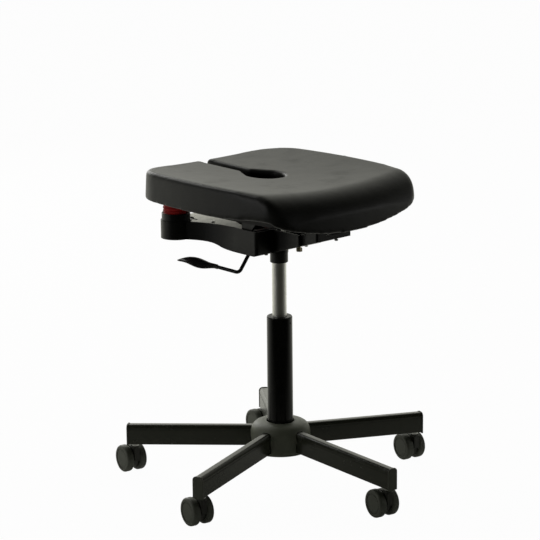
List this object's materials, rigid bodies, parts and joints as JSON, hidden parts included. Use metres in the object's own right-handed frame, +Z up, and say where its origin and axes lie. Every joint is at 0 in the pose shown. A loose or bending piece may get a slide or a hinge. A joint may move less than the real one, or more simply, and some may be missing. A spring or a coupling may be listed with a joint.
{
  "type": "adjustable stool",
  "caption": "Height adjustable swivel stool on a star base with casters, with a dished seat that is slotted at the rear, rear springs and a release lever.",
  "frame": {"origin": "point on the floor under the column's axis", "axes": "+Z up along the column, the seat faces -Y and its slot opens to +Y, the release lever is on the -X side"},
  "size_m": [0.6157, 0.5979, 0.6241],
  "materials": {
    "arm_paint": "gloss black",
    "column_paint": "satin black",
    "housing_paint": "satin black",
    "lever_paint": "satin black",
    "dark_steel": "satin",
    "steel": "satin",
    "bright_steel": "bright",
    "zinc": "zinc plated",
    "chrome": "mirror",
    "brass": "plain",
    "caster_plastic": "matte",
    "wheel_plastic": "matte",
    "cap_plastic": "satin",
    "cover_plastic": "fine grain",
    "grip_plastic": "satin",
    "black_rubber": "matte",
    "red_rubber": "matte",
    "board_wood": "black stain",
    "seat_foam": "integral foam skin"
  },
  "bodies": {
    "base": {"hub_core": "dark_steel", "arm_1": "arm_paint", "arm_2": "arm_paint", "arm_3": "arm_paint", "arm_4": "arm_paint", "arm_5": "arm_paint", "arm_end_caps": "cap_plastic", "hub_cover": "cover_plastic", "column_tube": "column_paint", "guide_bush": "cover_plastic", "bearing_race_lower": "steel", "bearing_balls": "steel", "caster_stems": "bright_steel"},
    "piston": {"piston_rod": "bright_steel", "piston_head": "steel", "bearing_race_upper": "steel", "bump_stop": "black_rubber", "retaining_clip": "steel"},
    "carrier": {"gas_cylinder": "chrome", "cylinder_seal": "black_rubber", "neck_collar": "cap_plastic", "mechanism_housing": "housing_paint", "housing_screws": "steel", "cover_plate": "zinc", "tension_bolt": "brass", "lever_pivot_pin": "steel", "spring_cup_right": "housing_paint", "spring_cup_left": "housing_paint", "spring_studs": "steel", "hinge_pin": "steel", "bellows_spring_right": "red_rubber", "bellows_spring_left": "red_rubber"},
    "button": {"release_button": "cap_plastic"},
    "lever": {"lever_rod": "lever_paint", "lever_paddle": "grip_plastic"},
    "seat": {"seat_plate": "housing_paint", "seat_board": "board_wood", "board_screws": "steel", "seat_cushion": "seat_foam"},
    "caster_1": {"caster_1_body": "caster_plastic", "caster_1_axle": "steel"},
    "wheel_1_left": {"caster_1_wheel_left": "wheel_plastic"},
    "wheel_1_right": {"caster_1_wheel_right": "wheel_plastic"},
    "caster_2": {"caster_2_body": "caster_plastic", "caster_2_axle": "steel"},
    "wheel_2_left": {"caster_2_wheel_left": "wheel_plastic"},
    "wheel_2_right": {"caster_2_wheel_right": "wheel_plastic"},
    "caster_3": {"caster_3_body": "caster_plastic", "caster_3_axle": "steel"},
    "wheel_3_left": {"caster_3_wheel_left": "wheel_plastic"},
    "wheel_3_right": {"caster_3_wheel_right": "wheel_plastic"},
    "caster_4": {"caster_4_body": "caster_plastic", "caster_4_axle": "steel"},
    "wheel_4_left": {"caster_4_wheel_left": "wheel_plastic"},
    "wheel_4_right": {"caster_4_wheel_right": "wheel_plastic"},
    "caster_5": {"caster_5_body": "caster_plastic", "caster_5_axle": "steel"},
    "wheel_5_left": {"caster_5_wheel_left": "wheel_plastic"},
    "wheel_5_right": {"caster_5_wheel_right": "wheel_plastic"}
  },
  "joints": [
    {"name": "seat_swivel", "type": "hinge", "parent": "base", "child": "piston", "pos_m": [0, 0, 0.0741], "axis": [0, 0, 1], "continuous": true},
    {"name": "seat_lift", "type": "slide", "parent": "piston", "child": "carrier", "axis": [0, 0, 1], "range_m": [-0.1, 0.05]},
    {"name": "seat_tilt", "type": "hinge", "parent": "carrier", "child": "seat", "pos_m": [0, -0.139, 0.535], "axis": [1, 0, 0], "range_deg": [-3, 2], "stiffness_Nm_per_rad": 6000, "deforming": ["bellows_spring_right", "bellows_spring_left"]},
    {"name": "lever_pull", "type": "hinge", "parent": "carrier", "child": "lever", "pos_m": [-0.058, 0, 0.497], "axis": [0, 1, 0], "range_deg": [0, 5], "stiffness_Nm_per_rad": 4, "springref_deg": -3.44},
    {"name": "button_press", "type": "slide", "parent": "carrier", "child": "button", "axis": [0, 0, 1], "range_m": [-0.0052, 0]},
    {"name": "caster_1_swivel", "type": "hinge", "parent": "base", "child": "caster_1", "pos_m": [0, -0.2966, 0.05], "axis": [0, 0, 1], "continuous": true},
    {"name": "wheel_1_left_spin", "type": "hinge", "parent": "caster_1", "child": "wheel_1_left", "pos_m": [-0.01108, -0.27715, 0.0272], "axis": [-0.9857, 0.1685, 0], "continuous": true},
    {"name": "wheel_1_right_spin", "type": "hinge", "parent": "caster_1", "child": "wheel_1_right", "pos_m": [0.01691, -0.28194, 0.0272], "axis": [-0.9857, 0.1685, 0], "continuous": true},
    {"name": "caster_2_swivel", "type": "hinge", "parent": "base", "child": "caster_2", "pos_m": [0.28208, -0.09165, 0.05], "axis": [0, 0, 1], "continuous": true},
    {"name": "wheel_2_left_spin", "type": "hinge", "parent": "caster_2", "child": "wheel_2_left", "pos_m": [0.271, -0.07221, 0.0272], "axis": [-0.9857, 0.1685, 0], "continuous": true},
    {"name": "wheel_2_right_spin", "type": "hinge", "parent": "caster_2", "child": "wheel_2_right", "pos_m": [0.299, -0.07699, 0.0272], "axis": [-0.9857, 0.1685, 0], "continuous": true},
    {"name": "caster_3_swivel", "type": "hinge", "parent": "base", "child": "caster_3", "pos_m": [0.17434, 0.23995, 0.05], "axis": [0, 0, 1], "continuous": true},
    {"name": "wheel_3_left_spin", "type": "hinge", "parent": "caster_3", "child": "wheel_3_left", "pos_m": [0.16326, 0.2594, 0.0272], "axis": [-0.9857, 0.1685, 0], "continuous": true},
    {"name": "wheel_3_right_spin", "type": "hinge", "parent": "caster_3", "child": "wheel_3_right", "pos_m": [0.19125, 0.25461, 0.0272], "axis": [-0.9857, 0.1685, 0], "continuous": true},
    {"name": "caster_4_swivel", "type": "hinge", "parent": "base", "child": "caster_4", "pos_m": [-0.17434, 0.23995, 0.05], "axis": [0, 0, 1], "continuous": true},
    {"name": "wheel_4_left_spin", "type": "hinge", "parent": "caster_4", "child": "wheel_4_left", "pos_m": [-0.18542, 0.2594, 0.0272], "axis": [-0.9857, 0.1685, 0], "continuous": true},
    {"name": "wheel_4_right_spin", "type": "hinge", "parent": "caster_4", "child": "wheel_4_right", "pos_m": [-0.15743, 0.25461, 0.0272], "axis": [-0.9857, 0.1685, 0], "continuous": true},
    {"name": "caster_5_swivel", "type": "hinge", "parent": "base", "child": "caster_5", "pos_m": [-0.28208, -0.09165, 0.05], "axis": [0, 0, 1], "continuous": true},
    {"name": "wheel_5_left_spin", "type": "hinge", "parent": "caster_5", "child": "wheel_5_left", "pos_m": [-0.29317, -0.07221, 0.0272], "axis": [-0.9857, 0.1685, 0], "continuous": true},
    {"name": "wheel_5_right_spin", "type": "hinge", "parent": "caster_5", "child": "wheel_5_right", "pos_m": [-0.26517, -0.07699, 0.0272], "axis": [-0.9857, 0.1685, 0], "continuous": true}
  ],
  "couplings": [
    {"joint": "button_press", "follows": "lever_pull", "m_per_rad": -0.058}
  ]
}
